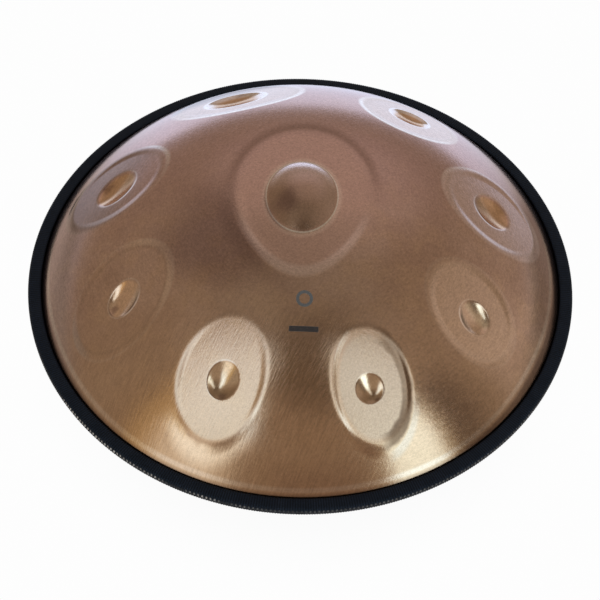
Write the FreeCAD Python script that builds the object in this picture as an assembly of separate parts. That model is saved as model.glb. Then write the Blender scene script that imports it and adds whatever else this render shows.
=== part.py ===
import FreeCAD, Part
import math
import os

# Handpan: two drawn steel shells glued flange to flange, with a channel trim and its
# metal core round the joined flanges. The lower shell has a sound port in its middle.
# Millimetres, +Z up, origin on the rest plane under the centre. Azimuths run from +X
# towards +Y, in degrees. "Level" means height off the flange mid-plane.

Vector = FreeCAD.Vector
ORIGIN = Vector(0, 0, 0)
Z_AXIS = Vector(0, 0, 1)

# ---- sheet, seam and dome -------------------------------------------------------
SHEET_T = 1.0             # sheet thickness of both shells
GLUE_T = 0.4              # adhesive layer between the flanges
SEAM_Z = 112.0            # height of the flange mid-plane
FLANGE_R = 265.0          # outer radius of both flanges
HALF_GLUE = GLUE_T / 2.0
FLANGE_TOP = HALF_GLUE + SHEET_T   # level of the flange's outer face

DOME_R = 250.0            # base radius of the dome curve
DOME_BASE = 3.0           # level where the dome curve starts
DOME_H = 114.8            # height of the dome curve
RADIUS_POWER = 1.982      # fullness exponent on the radius
HEIGHT_POWER = 0.712      # fullness exponent on the height
WALL_R = 232.0            # a parabolic wall takes over from the dome curve here
WALL_END = 256.9          # radius where the wall meets the flange level
COVE_R = 2.0              # fillet radius between wall and flange

# The wall goes on at the dome's own height and slope, and bends to meet the flange.
WALL_REST = 1.0 - (WALL_R / DOME_R) ** RADIUS_POWER
WALL_LEVEL = DOME_BASE + DOME_H * WALL_REST ** HEIGHT_POWER
WALL_SLOPE = (-DOME_H * HEIGHT_POWER * WALL_REST ** (HEIGHT_POWER - 1.0) * RADIUS_POWER
              * (WALL_R / DOME_R) ** (RADIUS_POWER - 1.0) / DOME_R)
WALL_SPAN = WALL_END - WALL_R
WALL_BEND = 2.0 * (FLANGE_TOP - WALL_LEVEL - WALL_SLOPE * WALL_SPAN) / WALL_SPAN ** 2

# ---- formed features of the top shell ---------------------------------------------
FIELD_R = 187.0           # radius of the circle of tone field frames
# The eight tone fields, by rising azimuth. An oval is its centre (across, outward),
# long and short semi-axes and tilt, in the field's frame; across is positive towards
# falling azimuth. Face radii of curvature are (across, outward).
FIELDS = [
    # azimuth, face oval, sink, face radii, dimple oval, dimple depth
    (112.5, (3.0, 8.0, 70.0, 46.0, -9.0), 3.4, (900.0, 900.0),
     (1.5, 9.0, 31.5, 23.0, -5.0), 6.3),
    (165.6, (6.6, 8.9, 62.8, 50.0, -51.6), 3.4, (1500.0, 900.0),
     (5.2, 5.0, 24.0, 20.3, -31.0), 5.8),
    (-152.2, (2.6, 1.2, 64.6, 46.3, -72.0), 3.3, (2000.0, 900.0),
     (1.3, -3.0, 19.6, 15.0, -66.0), 4.6),
    (-111.2, (2.0, -1.0, 68.5, 43.8, -85.4), 2.7, (3000.0, 650.0),
     (-0.4, -2.2, 17.6, 14.3, -84.8), 4.3),
    (-69.8, (-2.2, 1.2, 63.5, 39.2, 83.6), 2.4, (3000.0, 650.0),
     (0.4, 0.7, 13.5, 12.6, 84.6), 4.0),
    (-30.4, (-3.3, -3.4, 57.3, 42.2, 77.4), 3.0, (2000.0, 1000.0),
     (-1.0, 0.4, 17.6, 15.4, 78.9), 4.4),
    (9.5, (-3.2, 4.4, 61.8, 48.6, 54.8), 3.4, (1500.0, 900.0),
     (-4.0, 1.6, 21.8, 20.2, 38.4), 5.2),
    (55.5, (-1.5, 4.5, 54.5, 46.0, 3.9), 2.9, (1200.0, 900.0),
     (-2.6, 7.0, 21.8, 18.6, -4.8), 5.2),
]
BORDER_IN = 0.79          # inner end of the border blend, as a share of the oval
BORDER_OUT = 1.04         # outer end of the border blend
BORDER_POWER = 1.35       # how far the blend leans towards the inner end
CREASE = 0.10             # softness of the creases round dimples and bump
BOWL_END = 1.6            # a dimple or bump dies out at this share of its oval
FIELD_CURVES = (1.0 / 374.0, 1.0 / 292.0)   # dome curvature there: across, outward
TOP_CURVES = (1.0 / 375.0, 1.0 / 375.0)     # dome curvature at the centre: x, y

# Centre note: a flattened oval (shoulder) with a raised oval bump in it.
SHOULDER_MID = (0.0, 7.0)
SHOULDER_SEMI = (69.5, 94.5)
SHOULDER_EGG = 0.16       # how much the -Y end narrows
SHOULDER_SINK = 3.3
SHOULDER_RADII = (800.0, 560.0)
BUMP_OVAL = (-1.0, 3.9, 33.8, 44.0, 0.0)    # centre x, y, semi-axes, tilt
BUMP_H = 10.0

# Bounds outside which a feature need not be worked out.
CENTRE_REACH = 130.0      # the centre note lies within this radius
FIELDS_START = 95.0       # the tone fields lie beyond this radius
FIELD_REACH = 110.0       # each field lies this close to its frame, both ways

FADE_END = 247.0          # all features have died out at this radius
FADE_SPAN = 7.0
PLAIN_R = 247.5           # beyond this, normals come from the meridian alone

# ---- control points of the top shell ------------------------------------------------
N_AROUND = 420
CAP_R = 2.4               # flat cap at the very centre
STEP_DOME = 3.0
STEP_WALL = 1.5
STEP_COVE = 0.8
WALL_STEPS_R = 243.0      # the wall spacing starts here
COVE_BEFORE = 2.8         # the cove spacing starts this far inside the cove centre
COVE_AFTER = 0.4          # and ends this far outside it

# ---- lower shell -----------------------------------------------------------------
PORT_R = 50.0             # bore radius of the port neck
PORT_BEND = 6.2           # outside bend radius at the mouth of the port
PORT_TOP = 26.0           # height of the neck's upper lip
LAND_R = 66.0             # outer radius of the flat land round the port
# Easy blend from land to dome: (radius beyond LAND_R, rise of the skin).
BLEND_OUT = [(0.0, 0.0), (2.0, 0.06), (4.5, 0.28)]
BLEND_IN = [(0.0, 0.0), (1.98, 0.05), (4.4, 0.26)]
LOWER_START = LAND_R + 9.0   # the mirrored dome starts here
LOWER_COVE = 0.86         # and ends this share of COVE_R inside the cove centre
LOWER_STEPS = 46
LOWER_CROWDING = 1.25     # crowds the points towards the cove
LOWER_COVE_STEPS = 8

# ---- adhesive, trim and core --------------------------------------------------------
GLUE_INSET_IN = 0.4       # adhesive starts this far outside the cove centre
GLUE_INSET_OUT = 0.6      # and stops this far short of the flange edge

TRIM_RI = 256.0           # inner radius of the legs
TRIM_RO = 269.0
TRIM_HALF = 4.8           # half height
TRIM_ROUND = 3.0          # corner radius on the outer side
TRIM_LIP = 1.6            # corner radius at the leg tips
TRIM_SLANT = 2.4          # how far the leg tip slants out towards the slot
SLOT_HALF = FLANGE_TOP + 0.05
SLOT_R = FLANGE_R + 0.1   # radius of the slot's bottom
JOINT_AZ = 107.0          # azimuth of the butt joint
JOINT_GAP = 0.4           # width of the joint at the outer radius

CORE_T = 0.5              # strip thickness
CORE_LEG = 2.9            # mid level of the core's legs
CORE_RI = 258.6
CORE_RO = 267.1


# ---- the dome and its features ----------------------------------------------------
def dome_level(radius):
    rest = 1.0 - (min(radius, WALL_R) / DOME_R) ** RADIUS_POWER
    beyond = max(radius - WALL_R, 0.0)
    return (DOME_BASE + DOME_H * rest ** HEIGHT_POWER
            + WALL_SLOPE * beyond + 0.5 * WALL_BEND * beyond * beyond)


def dome_slope(radius):
    step = 0.05
    below = max(radius - step, 0.0)
    above = radius + step
    return (dome_level(above) - dome_level(below)) / (above - below)


def smooth(share):
    share = min(max(share, 0.0), 1.0)
    return share * share * (3.0 - 2.0 * share)


def field_frame(azimuth):
    """Origin on the dome, then the outward, around and normal directions."""
    angle = math.radians(azimuth)
    cos, sin = math.cos(angle), math.sin(angle)
    outward = Vector(cos, sin, dome_slope(FIELD_R)).normalize()
    around = Vector(-sin, cos, 0.0)
    origin = Vector(FIELD_R * cos, FIELD_R * sin, dome_level(FIELD_R))
    return origin, outward, around, outward.cross(around)


FRAMES = [field_frame(field[0]) for field in FIELDS]


def oval_distance(x, y, mid_x, mid_y, semi_x, semi_y, tilt):
    """Distance from an oval's centre, 1 on its outline."""
    cos, sin = math.cos(math.radians(tilt)), math.sin(math.radians(tilt))
    x, y = x - mid_x, y - mid_y
    return math.hypot((x * cos + y * sin) / semi_x, (y * cos - x * sin) / semi_y)


def border(distance):
    """Blend weight of a flattened face: 1 inside, 0 outside."""
    share = max((BORDER_OUT - distance) / (BORDER_OUT - BORDER_IN), 0.0)
    return smooth(share ** BORDER_POWER)


def bowl(distance, depth):
    """Paraboloid with a softened crease at its outline."""
    inside = 1.0 - distance * distance
    softened = 0.5 * (inside + math.hypot(inside, CREASE))
    return depth * softened * smooth((BOWL_END - distance) / (BOWL_END - 1.0))


def face_level(position, middle, dome_curves, face_radii, sink):
    """Height of a flattened face: a sunk tangent plane with its own slight curvature."""
    level = -sink
    for at, mid, curve, radius in zip(position, middle, dome_curves, face_radii):
        off = at - mid
        level -= mid * mid / 2.0 * curve + mid * curve * off + off * off / (2.0 * radius)
    return level


def centre_offset(x, y, z):
    mid_x, mid_y = SHOULDER_MID
    semi_x, semi_y = SHOULDER_SEMI
    if y < mid_y:
        semi_x *= 1.0 + SHOULDER_EGG * (y - mid_y) / semi_y
    offset = bowl(oval_distance(x, y, *BUMP_OVAL), BUMP_H)
    weight = border(oval_distance(x, y, mid_x, mid_y, semi_x, semi_y, 0.0))
    if weight > 0.0:
        face = face_level((x, y), SHOULDER_MID, TOP_CURVES, SHOULDER_RADII, SHOULDER_SINK)
        offset += weight * (face - (z - DOME_BASE - DOME_H))
    return offset


def field_offset(point, field, frame):
    _, oval, sink, radii, dimple, depth = field
    origin, outward, around, normal = frame
    gap = point - origin
    place = (-gap.dot(around), gap.dot(outward))
    if max(abs(place[0]), abs(place[1])) > FIELD_REACH:
        return 0.0
    offset = -bowl(oval_distance(*place, *dimple), depth)
    weight = border(oval_distance(*place, *oval))
    if weight > 0.0:
        face = face_level(place, oval[:2], FIELD_CURVES, radii, sink)
        offset += weight * (face - gap.dot(normal))
    return offset


def feature_offset(x, y, z):
    """Offset of the formed features along the shell normal."""
    radius = math.hypot(x, y)
    offset = 0.0
    if radius < CENTRE_REACH:
        offset += centre_offset(x, y, z)
    if radius > FIELDS_START:
        point = Vector(x, y, z)
        offset += sum(field_offset(point, *pair) for pair in zip(FIELDS, FRAMES))
    return offset


# ---- meridian of dome, cove and flange ----------------------------------------------
def make_meridian():
    """Dense outer meridian as (radius, level), centre to edge, and the cove's centre."""
    dome_steps, near_wall, arc_steps, flange_steps = 5080, 900, 40, 24
    points = []
    for i in range(dome_steps + 1):
        radius = WALL_END * i / dome_steps
        points.append((radius, dome_level(radius)))
    cove_z = FLANGE_TOP + COVE_R

    # Bisect for the centre whose distance to the wall is the cove radius.
    low, high = WALL_END, WALL_END + 2.0 * COVE_R
    for _ in range(60):
        middle = 0.5 * (low + high)
        if min(math.hypot(r - middle, z - cove_z) for r, z in points[-near_wall:]) > COVE_R:
            high = middle
        else:
            low = middle
    cove_mid = 0.5 * (low + high)

    distances = [math.hypot(r - cove_mid, z - cove_z) for r, z in points]
    touch = distances.index(min(distances))
    touch_r, touch_z = points[touch]
    start = math.atan2(touch_z - cove_z, touch_r - cove_mid) % (2.0 * math.pi)
    outline = points[:touch]
    for i in range(arc_steps + 1):
        angle = start + (1.5 * math.pi - start) * i / arc_steps
        outline.append((cove_mid + COVE_R * math.cos(angle),
                        cove_z + COVE_R * math.sin(angle)))
    for i in range(1, flange_steps + 1):
        outline.append((cove_mid + (FLANGE_R - cove_mid) * i / flange_steps, FLANGE_TOP))
    return outline, cove_mid


MERIDIAN, COVE_MID = make_meridian()
LENGTHS = [0.0]           # length along the meridian at each of its points
for before, after in zip(MERIDIAN, MERIDIAN[1:]):
    LENGTHS.append(LENGTHS[-1] + math.hypot(after[0] - before[0], after[1] - before[1]))
FULL_LENGTH = LENGTHS[-1]


def meridian_at(length):
    """(radius, level) at a length along the meridian."""
    length = min(max(length, 0.0), FULL_LENGTH)
    low, high = 0, len(LENGTHS) - 1
    while high - low > 1:
        middle = (low + high) // 2
        if LENGTHS[middle] <= length:
            low = middle
        else:
            high = middle
    share = (length - LENGTHS[low]) / (LENGTHS[high] - LENGTHS[low])
    (r0, z0), (r1, z1) = MERIDIAN[low], MERIDIAN[high]
    return r0 + share * (r1 - r0), z0 + share * (z1 - z0)


def direction_at(length, reach):
    """Unit direction of the meridian, from points a reach to either side."""
    r0, z0 = meridian_at(length - reach)
    r1, z1 = meridian_at(length + reach)
    size = math.hypot(r1 - r0, z1 - z0)
    return (r1 - r0) / size, (z1 - z0) / size


def length_at(radius):
    return next(length for length, p in zip(LENGTHS, MERIDIAN) if p[0] >= radius)


# ---- top shell ------------------------------------------------------------------
def stations():
    """Lengths along the meridian of the rings of control points."""
    rings = [CAP_R, CAP_R + STEP_DOME / 3.0]
    length = CAP_R + STEP_DOME
    for step, end_radius in ((STEP_DOME, WALL_STEPS_R),
                             (STEP_WALL, COVE_MID - COVE_BEFORE),
                             (STEP_COVE, COVE_MID + COVE_AFTER)):
        end = length_at(end_radius)
        while length < end:
            rings.append(length)
            length += step
    rest = FULL_LENGTH - length
    rings += [length + rest * k / 4.0 for k in range(4)]
    return rings + [FULL_LENGTH - rest / 12.0, FULL_LENGTH]


def outer_point(length, angle):
    radius, z = meridian_at(length)
    x, y = radius * math.cos(angle), radius * math.sin(angle)
    fade = smooth((FADE_END - radius) / FADE_SPAN)
    # A normal offset is applied upright, so it is stretched by the slope.
    z += feature_offset(x, y, z) * fade * math.hypot(1.0, dome_slope(radius))
    return Vector(x, y, z)


def formed_grids():
    """Control grids of the outer skin and of the inner skin one sheet below."""
    rings = stations()
    angles = [2.0 * math.pi * j / N_AROUND for j in range(N_AROUND)]
    points = [[outer_point(length, angle) for angle in angles] for length in rings]
    cap_z = sum(p.z for p in points[0]) / N_AROUND
    points[0] = [Vector(p.x, p.y, cap_z) for p in points[0]]

    def normal(i, j):
        if i == 0 or i >= len(rings) - 2:
            return Z_AXIS
        if meridian_at(rings[i])[0] > PLAIN_R:
            run, rise = direction_at(rings[i], 0.15)
            return Vector(-rise * math.cos(angles[j]), -rise * math.sin(angles[j]), run)
        down = points[i + 1][j] - points[i - 1][j]
        around = points[i][(j + 1) % N_AROUND] - points[i][j - 1]
        return down.cross(around).normalize()

    # A periodic cubic runs inside its poles; this growth brings it out to the radius.
    grow = 1.0 / (1.0 - (1.0 - math.cos(2.0 * math.pi / N_AROUND)) / 3.0)

    def pole(p):
        return Vector(p.x * grow, p.y * grow, SEAM_Z + p.z)

    outer = [[pole(p) for p in ring] for ring in points]
    inner = [[pole(p - normal(i, j) * SHEET_T) for j, p in enumerate(ring)]
             for i, ring in enumerate(points)]
    return outer, inner


def skin(grid):
    """Bicubic face over the grid: clamped from centre to edge, periodic around."""
    rings, around = len(grid), len(grid[0])
    surface = Part.BSplineSurface()
    surface.buildFromPolesMultsKnots(
        grid, [4] + [1] * (rings - 4) + [4], [1] * (around + 1),
        list(range(rings - 2)), list(range(around + 1)), False, True, 3, 3)
    return surface.toShape()


def round_edges(face):
    """The closed edges at the cap and at the rim of a skin."""
    edges = sorted((e for e in face.Edges if e.isClosed()), key=lambda e: e.Length)
    return edges[0], edges[-1]


def make_top_shell():
    outer, inner = [skin(grid) for grid in formed_grids()]
    outer_cap, outer_rim = round_edges(outer)
    inner_cap, inner_rim = round_edges(inner)
    band = Part.makeRuledSurface(outer_rim, inner_rim)
    caps = [Part.Face(Part.Wire([edge])) for edge in (outer_cap, inner_cap)]
    shell = Part.makeShell([outer, inner, band] + caps)
    shell.sewShape()
    # Sewing may wrap the shell in a compound, or leave it inside out.
    if shell.ShapeType == "Compound":
        shell = shell.Shells[0]
    solid = Part.Solid(shell)
    if solid.Volume < 0:
        solid.reverse()
    return solid


# ---- outlines in the XZ half plane ----------------------------------------------------
def at(radius, z):
    return Vector(radius, 0.0, z)


def lines(*points):
    return [Part.makeLine(at(*a), at(*b)) for a, b in zip(points, points[1:])]


def arc(radius, z, size, start, end):
    """Arc round (radius, z) between two angles."""
    return Part.Arc(*[at(radius + size * math.cos(angle), z + size * math.sin(angle))
                      for angle in (start, 0.5 * (start + end), end)]).toShape()


def spline(points):
    curve = Part.BSplineCurve()
    curve.interpolate([at(*p) for p in points])
    return curve.toShape()


def outline_face(edges):
    return Part.Face(Part.Wire(Part.__sortEdges__(edges)))


def polygon_face(points):
    return Part.Face(Part.makePolygon([at(*p) for p in points + points[:1]]))


# ---- lower shell ------------------------------------------------------------------
def lower_skins():
    """Points of the outside and the cavity side, from the land to the flange."""
    outside = [(LAND_R + run, rise) for run, rise in BLEND_OUT]
    inside = [(LAND_R + run, SHEET_T + rise) for run, rise in BLEND_IN]
    start = length_at(LOWER_START)
    end = length_at(COVE_MID - COVE_R * LOWER_COVE)
    for i in range(LOWER_STEPS + 1):
        share = 1.0 - (1.0 - i / LOWER_STEPS) ** LOWER_CROWDING
        length = start + (end - start) * share
        radius, level = meridian_at(length)
        run, rise = direction_at(length, 0.3)
        outside.append((radius, SEAM_Z - level))
        inside.append((radius + SHEET_T * rise, SEAM_Z - level + SHEET_T * run))

    # The cove eases from the last point's own distance to the true cove radius.
    cove_z = SEAM_Z - FLANGE_TOP - COVE_R
    off_r, off_z = outside[-1][0] - COVE_MID, outside[-1][1] - cove_z
    first_angle = math.atan2(off_z, off_r)
    first_size = math.hypot(off_r, off_z)
    for i in range(1, LOWER_COVE_STEPS + 1):
        share = i / LOWER_COVE_STEPS
        angle = first_angle + (0.5 * math.pi - first_angle) * share
        size = first_size + (COVE_R - first_size) * share
        for skin_points, reach in ((outside, size), (inside, size + SHEET_T)):
            skin_points.append((COVE_MID + reach * math.cos(angle),
                                cove_z + reach * math.sin(angle)))
    return outside, inside


def make_bottom_shell():
    outside, inside = lower_skins()
    flange_low = SEAM_Z - FLANGE_TOP
    flange_high = SEAM_Z - HALF_GLUE
    bend_r = PORT_R + PORT_BEND
    neck_r = PORT_R + SHEET_T
    half_turn, to_bottom = math.pi, 1.5 * math.pi
    edges = [spline(outside)]
    edges += lines((COVE_MID, flange_low), (FLANGE_R, flange_low),
                   (FLANGE_R, flange_high), (COVE_MID, flange_high))
    edges.append(spline(inside))
    edges += lines((LAND_R, SHEET_T), (bend_r, SHEET_T))
    edges.append(arc(bend_r, PORT_BEND, PORT_BEND - SHEET_T, to_bottom, half_turn))
    edges += lines((neck_r, PORT_BEND), (neck_r, PORT_TOP),
                   (PORT_R, PORT_TOP), (PORT_R, PORT_BEND))
    edges.append(arc(bend_r, PORT_BEND, PORT_BEND, half_turn, to_bottom))
    edges += lines((bend_r, 0.0), (LAND_R, 0.0))
    return outline_face(edges).revolve(ORIGIN, Z_AXIS, 360.0)


# ---- adhesive, trim and core --------------------------------------------------------
def make_adhesive():
    low, high = SEAM_Z - HALF_GLUE, SEAM_Z + HALF_GLUE
    inner, outer = COVE_MID + GLUE_INSET_IN, FLANGE_R - GLUE_INSET_OUT
    ring = polygon_face([(inner, low), (outer, low), (outer, high), (inner, high)])
    return ring.revolve(ORIGIN, Z_AXIS, 360.0)


def trim_section():
    """Channel open to the axis: rounded outside, with slanted leg tips."""
    quarter = math.pi / 2.0
    edges = []
    for side in (1.0, -1.0):
        face_z = SEAM_Z + side * TRIM_HALF
        slot_z = SEAM_Z + side * SLOT_HALF
        lip_r, lip_z = TRIM_RI + TRIM_LIP, face_z - side * TRIM_LIP
        corner_r, corner_z = TRIM_RO - TRIM_ROUND, face_z - side * TRIM_ROUND
        edges.append(arc(lip_r, lip_z, TRIM_LIP, side * quarter, side * math.pi))
        edges += lines((TRIM_RI, lip_z), (TRIM_RI + TRIM_SLANT, slot_z), (SLOT_R, slot_z))
        edges += lines((lip_r, face_z), (corner_r, face_z))
        edges.append(arc(corner_r, corner_z, TRIM_ROUND, 0.0, side * quarter))
    for radius, half in ((TRIM_RO, TRIM_HALF - TRIM_ROUND), (SLOT_R, SLOT_HALF)):
        edges += lines((radius, SEAM_Z + half), (radius, SEAM_Z - half))
    return outline_face(edges)


def core_section():
    """Thin U, open towards the axis."""
    outer = CORE_LEG + CORE_T / 2.0
    inner = outer - CORE_T
    web_r = CORE_RO - CORE_T
    return polygon_face([
        (CORE_RI, SEAM_Z - outer), (CORE_RO, SEAM_Z - outer),
        (CORE_RO, SEAM_Z + outer), (CORE_RI, SEAM_Z + outer),
        (CORE_RI, SEAM_Z + inner), (web_r, SEAM_Z + inner),
        (web_r, SEAM_Z - inner), (CORE_RI, SEAM_Z - inner)])


def revolve_from_joint(face):
    """Ring that stops short of closing, which leaves the butt joint open."""
    gap = math.degrees(JOINT_GAP / TRIM_RO)
    ring = face.revolve(ORIGIN, Z_AXIS, 360.0 - gap)
    ring.rotate(ORIGIN, Z_AXIS, JOINT_AZ + gap / 2.0)
    return ring


def make_trim():
    return revolve_from_joint(trim_section().cut(core_section()).Faces[0])


def make_core():
    return revolve_from_joint(core_section())


PARTS = {
    "top_shell": make_top_shell,
    "bottom_shell": make_bottom_shell,
    "seam_adhesive": make_adhesive,
    "rim_trim": make_trim,
    "rim_trim_core": make_core,
}

os.makedirs("parts", exist_ok=True)
for name, make in PARTS.items():
    make().exportStep("parts/%s.step" % name)
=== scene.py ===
# Handpan: two formed steel shells glued at their flanges, with a ribbed rubber trim.
# It lies flat with the playing side up (+Z). The row frame has z = 0 on the rest plane,
# the axis on x = y = 0, and the player at the front, towards -Y.
import bpy
import math
import numpy as np
from collections import namedtuple
from mathutils import Matrix, Vector
from mathutils.geometry import delaunay_2d_cdt


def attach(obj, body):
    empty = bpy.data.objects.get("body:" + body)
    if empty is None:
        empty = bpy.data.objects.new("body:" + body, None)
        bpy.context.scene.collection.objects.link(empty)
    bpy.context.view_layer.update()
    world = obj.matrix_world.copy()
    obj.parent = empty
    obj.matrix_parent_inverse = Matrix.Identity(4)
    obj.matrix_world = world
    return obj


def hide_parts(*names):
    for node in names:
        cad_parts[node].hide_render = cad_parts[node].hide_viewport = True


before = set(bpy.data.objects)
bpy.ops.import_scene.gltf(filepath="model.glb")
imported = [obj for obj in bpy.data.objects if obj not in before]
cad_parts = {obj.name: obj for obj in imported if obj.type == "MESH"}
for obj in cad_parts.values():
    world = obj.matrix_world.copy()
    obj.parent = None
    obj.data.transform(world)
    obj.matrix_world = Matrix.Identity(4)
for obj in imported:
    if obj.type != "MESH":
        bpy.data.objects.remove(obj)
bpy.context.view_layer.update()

# Shape code works in millimetres over the seam plane; meshes are written in metres.
SEAM_Z = 112.0
SHEET_T, GLUE_T, FLANGE_R = 1.0, 0.4, 265.0
FLANGE_TOP = GLUE_T / 2 + SHEET_T
# dome: radius, base level, height and the two exponents of its curve
DOME_R, DOME_BASE, DOME_H, DOME_P, DOME_Q = 250.0, 3.0, 114.8, 1.982, 0.712
WALL_R, WALL_END, COVE_R = 232.0, 256.9, 2.0
FADE_R, FADE_W = 247.0, 7.0         # the formed features fade out over FADE_W inside FADE_R
JOIN_R, AROUND = 244.0, 512         # edge of the triangulated part, and its point count
FIELD_R = 187.0                     # where every field's own frame touches the dome
# dome curvatures at a field, outward and across, and at the apex
CURVE_OUT, CURVE_ACROSS, CURVE_TOP = 1 / 292.0, 1 / 374.0, 1 / 375.0

# Eight fields, counterclockwise from the back left; field numbers count from 1.
# Azimuth; face oval; sink; face radii outward and across; dimple oval; dimple depth.
# An oval is its centre across (clockwise) and outward, two semi-axes, and tilt.
Field = namedtuple("Field", "azimuth face sink radius_out radius_across dimple depth")
FIELDS = [Field(*row) for row in (
    (112.5, (3.0, 8.0, 70.0, 46.0, -9.0), 3.4, 900.0, 900.0, (1.5, 9.0, 31.5, 23.0, -5.0), 6.3),
    (165.6, (6.6, 8.9, 62.8, 50.0, -51.6), 3.4, 900.0, 1500.0, (5.2, 5.0, 24.0, 20.3, -31.0), 5.8),
    (-152.2, (2.6, 1.2, 64.6, 46.3, -72.0), 3.3, 900.0, 2000.0, (1.3, -3.0, 19.6, 15.0, -66.0), 4.6),
    (-111.2, (2.0, -1.0, 68.5, 43.8, -85.4), 2.7, 650.0, 3000.0, (-.4, -2.2, 17.6, 14.3, -84.8), 4.3),
    (-69.8, (-2.2, 1.2, 63.5, 39.2, 83.6), 2.4, 650.0, 3000.0, (0.4, 0.7, 13.5, 12.6, 84.6), 4.0),
    (-30.4, (-3.3, -3.4, 57.3, 42.2, 77.4), 3.0, 1000.0, 2000.0, (-1.0, 0.4, 17.6, 15.4, 78.9), 4.4),
    (9.5, (-3.2, 4.4, 61.8, 48.6, 54.8), 3.4, 900.0, 1500.0, (-4.0, 1.6, 21.8, 20.2, 38.4), 5.2),
    (55.5, (-1.5, 4.5, 54.5, 46.0, 3.9), 2.9, 900.0, 1200.0, (-2.6, 7.0, 21.8, 18.6, -4.8), 5.2),
)]
# border of a face, in shares of its oval, and the rounding of a bowl's edge
BORDER_IN, BORDER_OUT, BORDER_POWER, CREASE = 0.79, 1.04, 1.35, 0.10
# flattened shoulder round the apex: centre, semi-axes, sink, face radii, front taper
SHOULDER_X, SHOULDER_Y, SHOULDER_A, SHOULDER_B = 0.0, 7.0, 69.5, 94.5
SHOULDER_SINK, SHOULDER_RX, SHOULDER_RY, SHOULDER_TAPER = 3.3, 800.0, 560.0, 0.16
# central bump: centre, semi-axes, height
BUMP_X, BUMP_Y, BUMP_A, BUMP_B, BUMP_H = -1.0, 3.9, 33.8, 44.0, 10.0

# the wall leaves the dome in line with it, and curves to reach the flange at WALL_END
WALL_SHARE = 1 - (WALL_R / DOME_R) ** DOME_P
WALL_Z = DOME_BASE + DOME_H * WALL_SHARE ** DOME_Q
WALL_SLOPE = (-DOME_H * DOME_Q * WALL_SHARE ** (DOME_Q - 1) * DOME_P
              * (WALL_R / DOME_R) ** (DOME_P - 1) / DOME_R)
WALL_CURVE = (2 * (FLANGE_TOP - WALL_Z - WALL_SLOPE * (WALL_END - WALL_R))
              / (WALL_END - WALL_R) ** 2)


# ---- shell shape -------------------------------------------------------------
def dome_z(radius):
    share = np.clip(1 - (np.minimum(radius, WALL_R) / DOME_R) ** DOME_P, 0, 1)
    past = np.maximum(radius - WALL_R, 0)
    return DOME_BASE + DOME_H * share ** DOME_Q + WALL_SLOPE * past + .5 * WALL_CURVE * past * past


def slope(radius, reach=.05):
    outer = radius + reach
    inner = np.maximum(radius - reach, 0)
    return (dome_z(outer) - dome_z(inner)) / (outer - inner)


def normal_up(grade):
    """Upward share of the normal at a slope, kept off zero."""
    return np.maximum(1 / np.sqrt(1 + grade * grade), .4)


def smooth(t):
    t = np.clip(t, 0, 1)
    return t * t * (3 - 2 * t)


def field_frame(field):
    """Touching point on the dome; outward, counterclockwise and normal directions."""
    angle = math.radians(field.azimuth)
    cos, sin = math.cos(angle), math.sin(angle)
    grade = float(slope(np.array(FIELD_R)))
    length = math.sqrt(1 + grade * grade)
    out = (cos / length, sin / length, grade / length)
    side = (-sin, cos, 0.)
    normal = (out[1] * side[2] - out[2] * side[1], out[2] * side[0] - out[0] * side[2],
              out[0] * side[1] - out[1] * side[0])
    return (FIELD_R * cos, FIELD_R * sin, float(dome_z(np.array(FIELD_R)))), out, side, normal


def to_field(field, x, y, z):
    """Field coordinates across, outward and up, and whether the point is on its side."""
    origin, out, side, normal = field_frame(field)
    dx, dy, dz = x - origin[0], y - origin[1], z - origin[2]
    return (-(dx * side[0] + dy * side[1]), dx * out[0] + dy * out[1] + dz * out[2],
            dx * normal[0] + dy * normal[1] + dz * normal[2],
            dx * origin[0] + dy * origin[1] > -150 * FIELD_R)


def to_plan(field, points):
    """Field coordinates to plan, along the field's normal onto the dome."""
    origin, out, side, normal = (np.array(k) for k in field_frame(field))
    up = np.zeros(len(points))
    base = origin - points[:, :1] * side + points[:, 1:] * out
    for _ in range(30):
        p = base + up[:, None] * normal
        up -= .7 * (p[:, 2] - dome_z(np.hypot(p[:, 0], p[:, 1])))
    return (base + up[:, None] * normal)[:, :2]


# A level is 0 at an oval's centre and 1 on its outline.
def oval_level(across, out, centre_across, centre_out, semi_a, semi_b, tilt):
    cos, sin = math.cos(math.radians(tilt)), math.sin(math.radians(tilt))
    du, dv = across - centre_across, out - centre_out
    return np.hypot((du * cos + dv * sin) / semi_a, (-du * sin + dv * cos) / semi_b)


def shoulder_level(x, y):
    narrowed = SHOULDER_A * (1 + SHOULDER_TAPER * (y - SHOULDER_Y) / SHOULDER_B)
    semi = np.where(y < SHOULDER_Y, narrowed, SHOULDER_A)
    return np.hypot((x - SHOULDER_X) / semi, (y - SHOULDER_Y) / SHOULDER_B)


def bump_level(x, y):
    return np.hypot((x - BUMP_X) / BUMP_A, (y - BUMP_Y) / BUMP_B)


def border(level):
    return smooth(np.clip((BORDER_OUT - level) / (BORDER_OUT - BORDER_IN), 0, 1) ** BORDER_POWER)


def bowl(level, depth):
    inside = 1 - level * level
    drop = depth * (.5 * (inside + np.sqrt(inside * inside + CREASE * CREASE)))
    return np.where(level > 1, drop * smooth((1.6 - level) / .6), drop)


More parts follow.
